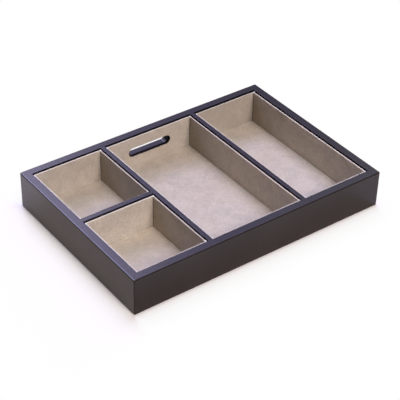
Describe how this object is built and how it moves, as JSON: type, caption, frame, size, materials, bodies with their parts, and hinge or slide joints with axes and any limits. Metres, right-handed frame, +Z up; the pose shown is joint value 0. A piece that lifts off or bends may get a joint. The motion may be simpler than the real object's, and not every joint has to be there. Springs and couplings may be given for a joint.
{
  "type": "valet tray",
  "caption": "Low rectangular lacquered wood tray with open suede-lined bays between fixed dividers, and a cord slot through its long back wall.",
  "frame": {"origin": "middle of the underside of the felt, on the surface the tray stands on", "axes": "+X along the long walls to the right, +Y towards the long wall with the cord slot, +Z up"},
  "size_m": [0.38, 0.2606, 0.0522],
  "materials": {
    "lacquered_wood": "satin",
    "suede": "matte",
    "card": "matte",
    "base_board": "matte",
    "spline_wood": "matte",
    "felt": "matte"
  },
  "bodies": {
    "root": {"front_wall": "lacquered_wood", "back_wall": "lacquered_wood", "left_wall": "lacquered_wood", "right_wall": "lacquered_wood", "divider_left": "lacquered_wood", "divider_right": "lacquered_wood", "divider_cross": "lacquered_wood", "corner_splines": "spline_wood", "base_panel": "base_board", "base_felt": "felt", "front_bay_front_card": "card", "front_bay_front_suede": "suede", "front_bay_back_card": "card", "front_bay_back_suede": "suede", "front_bay_left_card": "card", "front_bay_left_suede": "suede", "front_bay_right_card": "card", "front_bay_right_suede": "suede", "front_bay_floor_card": "card", "front_bay_floor_suede": "suede", "back_bay_front_card": "card", "back_bay_front_suede": "suede", "back_bay_back_card": "card", "back_bay_back_suede": "suede", "back_bay_left_card": "card", "back_bay_left_suede": "suede", "back_bay_right_card": "card", "back_bay_right_suede": "suede", "back_bay_floor_card": "card", "back_bay_floor_suede": "suede", "middle_bay_front_card": "card", "middle_bay_front_suede": "suede", "middle_bay_back_card": "card", "middle_bay_back_suede": "suede", "middle_bay_left_card": "card", "middle_bay_left_suede": "suede", "middle_bay_right_card": "card", "middle_bay_right_suede": "suede", "middle_bay_floor_card": "card", "middle_bay_floor_suede": "suede", "right_bay_front_card": "card", "right_bay_front_suede": "suede", "right_bay_back_card": "card", "right_bay_back_suede": "suede", "right_bay_left_card": "card", "right_bay_left_suede": "suede", "right_bay_right_card": "card", "right_bay_right_suede": "suede", "right_bay_floor_card": "card", "right_bay_floor_suede": "suede"}
  },
  "joints": []
}
